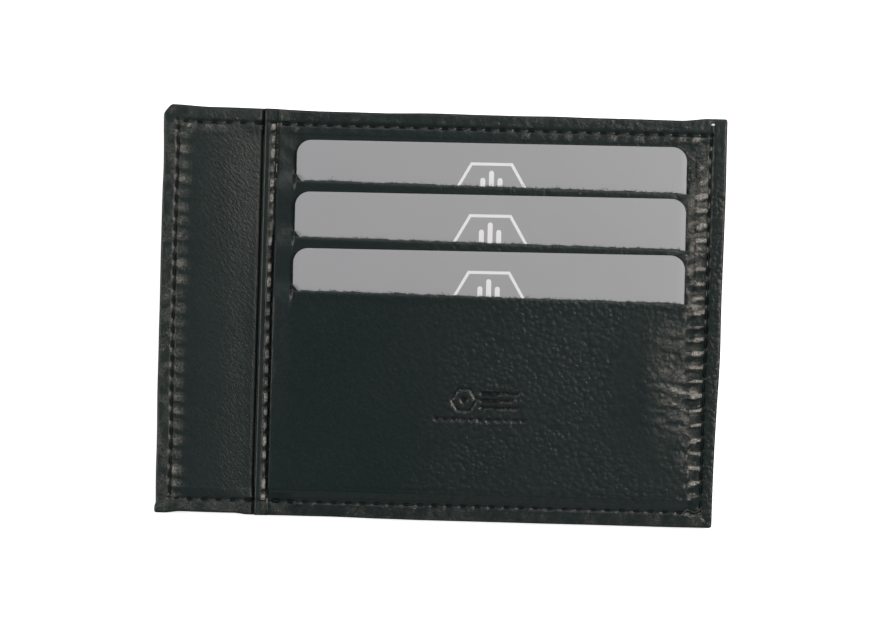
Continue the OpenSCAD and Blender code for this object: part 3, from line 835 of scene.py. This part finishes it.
def build_card(k):
    levels = [(-CARD_T / 2, 0.07), (-CARD_T / 2 + 0.02, 0.02), (-CARD_T / 2 + 0.09, 0),
              (CARD_T / 2 - 0.09, 0), (CARD_T / 2 - 0.02, 0.02), (CARD_T / 2, 0.07)]
    rings = []
    for z, inset in levels:
        outline = round_outline(CARD_W, CARD_H, CARD_R, inset)
        rings.append(np.column_stack([outline, np.full(len(outline), z)]))
    faces = ring_faces(len(rings), len(rings[0]))
    card = make_mesh(f"card_body_{k + 1}", card_place(k, np.concatenate(rings)), faces, smooth=50)
    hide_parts(f"card_{k + 1}")
    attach(card, f"card_{k + 1}")
    # the print: a plain six-sided outline round three upright bars
    z = CARD_T / 2 + 0.004
    points, faces = [], []
    middle = CARD_H / 2 - 12.2
    for radius in (9.2, 8.45):
        for i in range(6):
            a = math.radians(60 * i)
            points.append((radius * math.cos(a), middle + radius * math.sin(a), z))
    faces += [[i, (i + 1) % 6, 6 + (i + 1) % 6, 6 + i] for i in range(6)]
    for x, rise in ((-1.9, 4.6), (0, 6.2), (1.9, 4.6)):
        start = len(points)
        points += [(x - 0.55, middle - 3, z), (x + 0.55, middle - 3, z),
                   (x + 0.55, middle + rise - 0.4, z), (x + 0.3, middle + rise, z),
                   (x - 0.3, middle + rise, z), (x - 0.55, middle + rise - 0.4, z)]
        faces.append([start + i for i in range(6)])
    top = np.array(points)
    under = top - [0, 0, 0.003]
    n = len(top)
    edges = [(a, b) for f in faces for a, b in zip(f, f[1:] + f[:1])]
    walls = [[b, a, a + n, b + n] for a, b in edges if (b, a) not in edges]
    solid = faces + [[v + n for v in f[::-1]] for f in faces] + walls
    mark = make_mesh(f"card_print_{k + 1}", card_place(k, np.concatenate([top, under])), solid, smooth=30)
    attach(mark, f"card_{k + 1}")
    return card, mark


# ---- materials


class Shader:
    """A short way to lay out shader nodes: values are numbers, colours or other nodes' sockets."""

    def __init__(self, name):
        self.material = bpy.data.materials.new(name)
        self.material.use_nodes = True
        self.tree = self.material.node_tree
        self.tree.nodes.clear()
        coord = self.add("TexCoord")
        scaled = {0: coord.outputs["Object"], "Scale": 1 / MM}
        self.mm = self.add("VectorMath", {"operation": "SCALE"}, scaled).outputs[0]

    def add(self, kind, props=None, inputs=None):
        node = self.tree.nodes.new("ShaderNode" + kind)
        for key, value in (props or {}).items():
            setattr(node, key, value)
        for key, value in (inputs or {}).items():
            socket = node.inputs[key]
            if isinstance(value, bpy.types.NodeSocket):
                self.tree.links.new(value, socket)
            else:
                socket.default_value = value
        return node

    def math(self, op, a, b=0.0, clamp=False):
        return self.add("Math", {"operation": op, "use_clamp": clamp}, {0: a, 1: b}).outputs[0]

    def times(self, first, *others):
        for other in others:
            first = self.math("MULTIPLY", first, other)
        return first

    def plus(self, first, *others):
        for other in others:
            first = self.math("ADD", first, other)
        return first

    def mix(self, factor, a, b):
        node = self.add("Mix", {"data_type": "RGBA"}, {0: factor, 6: a, 7: b})
        return node.outputs[2]

    def noise(self, scale, detail=2.0, vector=None, rough=0.5):
        inputs = {"Vector": vector or self.mm, "Scale": scale, "Detail": detail, "Roughness": rough}
        return self.add("TexNoise", None, inputs).outputs[0]

    def cells(self, feature, vector, scale, **more):
        inputs = {"Vector": vector, "Scale": scale, **more}
        return self.add("TexVoronoi", {"feature": feature}, inputs).outputs["Distance"]

    def stretch(self, angle, x, y):
        turn = (0, 0, math.radians(angle))
        inputs = {"Vector": self.mm, "Rotation": turn, "Scale": (1 / x, 1 / y, 1)}
        return self.add("Mapping", {"vector_type": "TEXTURE"}, inputs).outputs[0]

    def range(self, value, a, b, low=0.0, high=1.0):
        return self.add("MapRange", None, {0: value, 1: a, 2: b, 3: low, 4: high}).outputs[0]

    def attribute(self, name):
        return self.add("Attribute", {"attribute_name": name}).outputs["Fac"]

    def finish(self, colour, rough, height=None, more=None):
        """The material with that colour, roughness and more inputs; height, in mm, is its bump."""
        inputs = {"Base Color": colour, "Roughness": rough, **(more or {})}
        if height is not None:
            raised = self.add("Bump", None, {"Strength": 1.0, "Distance": MM, "Height": height})
            inputs["Normal"] = raised.outputs[0]
        shader = self.add("BsdfPrincipled", None, inputs)
        out = self.add("OutputMaterial")
        self.tree.links.new(shader.outputs[0], out.inputs[0])
        return self.material


def leather_material():
    s = Shader("leather")
    names = ("wear_and_highlight", "pebble", "raw", "streak", "tone_and_painted_light", "stamp_and_painted_shade")
    wear_and_highlight, pebble, raw, streak, tone_and_painted_light, stamp_and_painted_shade = (s.attribute(name) for name in names)
    cloud, mottle, fine = s.noise(0.05, 3), s.noise(0.75, 3), s.noise(5.5, 3)
    speck = s.range(s.noise(2.3, 4, rough=0.65), 0.45, 0.62)
    sway = s.add("TexNoise", None, {"Vector": s.mm, "Scale": 0.7, "Detail": 2.0}).outputs["Color"]
    bent = s.add("VectorMath", {"operation": "ADD"}, {0: s.mm, 1: sway}).outputs[0]
    cells = s.cells("SMOOTH_F1", bent, 0.95, Smoothness=0.6)
    domes = s.range(cells, 0.75, 0.15)
    pores = s.range(s.cells("DISTANCE_TO_EDGE", bent, 2.8), 0.0, 0.22)
    hair = s.noise(1.0, 4, s.stretch(40, 1.9, 0.95), rough=0.6)
    patch = s.range(s.noise(0.09, 2), 0.35, 0.65)
    grain = s.times(pebble, s.plus(s.times(patch, 0.6), 0.4))
    worn = s.times(s.plus(mottle, s.times(speck, 0.5)), wear_and_highlight, 0.16)
    height = s.plus(s.times(domes, grain, 0.12), s.times(pores, 0.008), s.times(fine, 0.03),
                    s.times(hair, streak, 0.22), worn, s.times(fine, raw, 0.3))
    # random cloudy tone, plus the painted gradient of light held in tone
    shade = s.math("ADD", s.range(cloud, 0.3, 0.7, 0, 0.3), tone_and_painted_light, clamp=True)
    colour = s.mix(shade, (0.0060, 0.0138, 0.0134, 1), (0.0128, 0.0215, 0.0212, 1))
    # darker in the hollows between the grain's domes: painted shade
    between = s.times(s.range(cells, 0.45, 0.75), s.times(grain, 0.4))
    colour = s.mix(between, colour, (0.0035, 0.006, 0.006, 1))
    # Lighter and warmer where worn: rubbing, together with the painted highlights on ribs and bends. The
    # near-white where wear is highest is a painted highlight.
    patchy = s.plus(s.times(s.range(mottle, 0.4, 0.62), 0.25), s.times(speck, 0.6))
    rubbed = s.math("MULTIPLY", s.times(wear_and_highlight, wear_and_highlight), patchy, clamp=True)
    colour = s.mix(rubbed, colour, (0.24, 0.22, 0.195, 1))
    specked = s.plus(s.times(speck, 0.6), 0.3)
    painted_highlight = s.math("MULTIPLY", s.range(wear_and_highlight, 0.68, 1.0), specked, clamp=True)
    colour = s.mix(painted_highlight, colour, (0.42, 0.395, 0.36, 1))
    # near-black over the stamped figure, and as painted shade in holes, grooves and gaps
    colour = s.mix(stamp_and_painted_shade, colour, (0.0008, 0.0016, 0.0016, 1))
    grit = s.range(s.noise(1.9, 5, rough=0.75), 0.5, 0.72)
    gritty = s.times(grit, s.plus(s.times(streak, 0.22), 0.16))
    colour = s.mix(gritty, colour, (0.045, 0.051, 0.051, 1))
    dust = s.cells("F1", s.mm, 0.085)
    colour = s.mix(s.range(dust, 0.014, 0.007), colour, (0.16, 0.17, 0.16, 1))
    colour = s.mix(raw, colour, (0.07, 0.085, 0.08, 1))
    rough = s.range(fine, 0.3, 0.7, 0.31, 0.4)
    rough = s.math("SUBTRACT", rough, s.times(wear_and_highlight, 0.09))
    rough = s.math("ADD", rough, s.times(raw, 0.3), clamp=True)
    more = {"Specular IOR Level": 0.4, "Specular Tint": (1.0, 0.93, 0.88, 1)}
    return s.finish(colour, rough, height, more)


def thread_material():
    s = Shader("thread")
    ply = s.noise(7, 2)
    colour = s.mix(ply, (0.0022, 0.003, 0.003, 1), (0.007, 0.0085, 0.0085, 1))
    rough = s.range(ply, 0.3, 0.7, 0.5, 0.7)
    return s.finish(colour, rough, s.times(s.noise(22, 2), 0.03), {"Specular IOR Level": 0.2})


def nylon_material(name, dark, light, rough):
    s = Shader(name)
    ply = s.noise(4, 2)
    rough = s.range(ply, 0.3, 0.7, rough, rough + 0.1)
    return s.finish(s.mix(ply, dark, light), rough, s.times(ply, 0.02))


def fuzz_material():
    s = Shader("fuzz")
    colour = s.mix(s.noise(1.1, 3), (0.012, 0.018, 0.017, 1), (0.07, 0.083, 0.079, 1))
    return s.finish(colour, s.range(s.noise(4, 2), 0.3, 0.7, 0.75, 0.95))


def cloth_material(name, dark, light, pitch=0.32):
    """A weave whose threads are pitch apart: bands of a wave of scale 1 repeat every 0.314."""
    s = Shader(name)

    def bands(axis):
        inputs = {"Vector": s.mm, "Scale": 0.314 / pitch, "Distortion": 0.6, "Detail": 1.0}
        return s.add("TexWave", {"bands_direction": axis}, inputs).outputs["Fac"]

    weave = s.times(bands("X"), bands("Y"))
    shade = s.math("ADD", s.times(weave, 0.7), s.times(s.noise(0.6, 3), 0.4), clamp=True)
    rough = s.range(weave, 0, 1, 0.85, 0.7)
    return s.finish(s.mix(shade, dark, light), rough, s.times(weave, 0.04), {"Sheen Weight": 0.15})


def card_material():
    s = Shader("card")
    fine, cloud = s.noise(9, 2), s.noise(0.05, 2)
    colour = s.mix(cloud, (0.318, 0.322, 0.337, 1), (0.342, 0.346, 0.362, 1))
    colour = s.mix(s.range(fine, 0.3, 0.7, 0.0, 0.12), colour, (0.29, 0.29, 0.3, 1))
    rough = s.range(fine, 0.3, 0.7, 0.36, 0.44)
    return s.finish(colour, rough, s.times(fine, 0.002), {"Specular IOR Level": 0.4})


def print_material():
    s = Shader("card_print")
    colour = s.mix(s.noise(3, 2), (0.76, 0.755, 0.78, 1), (0.82, 0.815, 0.84, 1))
    return s.finish(colour, 0.4)


def board_material(name, dark, light):
    s = Shader(name)
    fibre = s.noise(1.2, 4, s.stretch(20, 2.2, 0.6))
    rough = s.range(fibre, 0.3, 0.7, 0.75, 0.95)
    return s.finish(s.mix(fibre, dark, light), rough, s.times(fibre, 0.05))


# ---- assembly


def coat(piece, look):
    piece.data.materials.append(look)


leather = leather_material()
for piece, node in ((build_front(), "front_panel"), (build_side(), "side_panel"),
                    (build_back(), "back_panel")):
    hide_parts(node)
    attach(piece, "holder")
    coat(piece, leather)


def flat(z):
    return lambda x, y: np.full_like(np.asarray(x, float), z)


def rim_runs(height, dip, lift):
    """The stitches along the four sides of the rim: bottom, top, left and right."""
    n_x, n_y = round(2 * SEAM_X / PITCH), round(2 * SEAM_Y / PITCH)
    sides = (((-SEAM_X, -SEAM_Y), (SEAM_X, -SEAM_Y), n_x), ((-SEAM_X, SEAM_Y), (SEAM_X, SEAM_Y), n_x),
             ((-SEAM_X, -SEAM_Y), (-SEAM_X, SEAM_Y), n_y), ((SEAM_X, -SEAM_Y), (SEAM_X, SEAM_Y), n_y))
    return [(*side, height, dip, lift) for side in sides]


def fold_run(half, height, dip, lift):
    """The stitches beside the folded edge, half of them on each side of the middle."""
    return [((FOLD_SEAM_X, -half), (FOLD_SEAM_X, half), round(2 * half / PITCH), height, dip, lift)]


threads = [
    seam("stitches_rim_front", rim_runs(rim_height, 0.6, -0.32), RIM_THREAD, "rim_thread_front"),
    seam("stitches_rim_back", rim_runs(flat(0.24), -0.12, 0.0), RIM_THREAD, "rim_thread_back", 0.8),
    seam("stitches_fold_front", fold_run(FOLD_SEAM_Y, flat(FOLD_TOP), 0.5, -0.32),
         FOLD_THREAD, "fold_thread_front", 0.36),
    seam("stitches_fold_back", fold_run(SEAM_Y - 2, flat(FOLD_UNDER + 0.12), -0.05, 0.0),
         BOBBIN_THREAD, "fold_thread_back", 0.8),
]
POCKET_STITCHES = 27
thread_top = node_box("pocket_thread")[1][2]
for k in (0, 1):
    foot_low, foot_high = node_box(f"pocket_lining_{k + 1}")
    y = foot_low[1] - 0.12
    z = (thread_top if k == 1 else foot_high[2] - 0.05) - 0.12
    run = ((CARD_LEFT + 0.85, y), (CARD_RIGHT - 0.85, y), POCKET_STITCHES, flat(z), 0.0, 0.0)
    threads.append(seam(f"stitches_pocket_{k + 1}", [run], BOBBIN_THREAD, "pocket_thread", 0.8))
thread = thread_material()
for piece in threads:
    coat(piece, thread)

coat(build_fibres(), fuzz_material())
tail, bead = build_thread_ends()
coat(tail, nylon_material("thread_tail", (0.02, 0.025, 0.025, 1), (0.07, 0.075, 0.075, 1), 0.3))
# the melted end is coloured pale: a painted glint
coat(bead, nylon_material("thread_bead_glint", (0.75, 0.72, 0.7, 1), (0.9, 0.88, 0.86, 1), 0.15))

cloth = cloth_material("lining", (0.004, 0.004, 0.0045, 1), (0.016, 0.016, 0.018, 1))
for piece in build_linings():
    coat(piece, cloth)

card_look, print_look = card_material(), print_material()
for k in range(3):
    body, mark = build_card(k)
    coat(body, card_look)
    coat(mark, print_look)

for node, look in (("back_stiffener", board_material("board", (0.1, 0.075, 0.05, 1), (0.2, 0.155, 0.11, 1))),
                   ("side_filler", board_material("fleece", (0.02, 0.02, 0.02, 1), (0.06, 0.06, 0.06, 1))),
                   ("fold_tape", cloth_material("tape", (0.35, 0.34, 0.3, 1), (0.6, 0.58, 0.53, 1), 0.5))):
    data = frame["nodes"][node].data
    data.materials.clear()
    data.materials.append(look)

# ---- stage, lights and camera

FLOOR_GLOW, FLOOR_HALF, FLOOR_Z = 0.75, 4000, -0.06
corners = [(sx * FLOOR_HALF, sy * FLOOR_HALF, FLOOR_Z) for sx, sy in ((-1, -1), (1, -1), (1, 1), (-1, 1))]
floor = make_mesh("floor", corners, [[0, 1, 2, 3]])
paper = Shader("paper")
glow = {"Emission Color": (1, 1, 1, 1), "Emission Strength": FLOOR_GLOW}
coat(floor, paper.finish((0.86, 0.86, 0.86, 1), 0.9, more=glow))
floor.visible_glossy = False


def softbox(name, position, size, power, colour):
    """An area light aimed at the object."""
    data = bpy.data.lights.new(name, "AREA")
    data.shape, data.size, data.size_y = "RECTANGLE", size[0], size[1]
    data.energy, data.color = power, colour
    obj = place_object(name, data)
    obj.location = position
    direction = -obj.location
    obj.rotation_euler = direction.to_track_quat("-Z", "Y").to_euler()
    return obj


softbox("light_right", (1.3, 0.5, 1.45), (0.45, 0.45), 28, (1.0, 0.95, 0.9))
softbox("light_left", (-1.62, 0.15, 1.1), (0.6, 0.6), 16, (1.0, 0.98, 0.96))
softbox("light_top", (0.2, 1.4, 1.35), (1.3, 0.6), 9, (0.97, 0.99, 1.0))
softbox("light_front", (0.1, -1.75, 0.75), (1.4, 0.5), 1.8, (0.94, 0.99, 1.0))

world = bpy.data.worlds.new("studio")
world.use_nodes = True
sky = world.node_tree.nodes["Background"].inputs
sky[0].default_value = (0.86, 0.95, 1.0, 1)
sky[1].default_value = 0.1
scene = bpy.context.scene
scene.world = world
scene.view_settings.view_transform = "Standard"
scene.view_settings.look = "None"

# The camera looks straight down, a little rolled, with a long lens.
FRAME_W, LENS, SENSOR, ROLL = 193.9, 120.0, 36.0, math.radians(1.62)
ASIDE, ALONG, LEVEL = 0.602, 1.336, 4.0  # the picture's middle, and the height that it is scaled at
camera_data = bpy.data.cameras.new("camera")
camera_data.lens, camera_data.sensor_width = LENS, SENSOR
camera_data.clip_end = 20
camera = place_object("camera", camera_data)
camera.location = (
    (ASIDE * math.cos(ROLL) - ALONG * math.sin(ROLL)) * MM,
    (ASIDE * math.sin(ROLL) + ALONG * math.cos(ROLL)) * MM,
    (FRAME_W * LENS / SENSOR + LEVEL) * MM,
)
camera.rotation_euler = (0, 0, ROLL)
scene.camera = camera
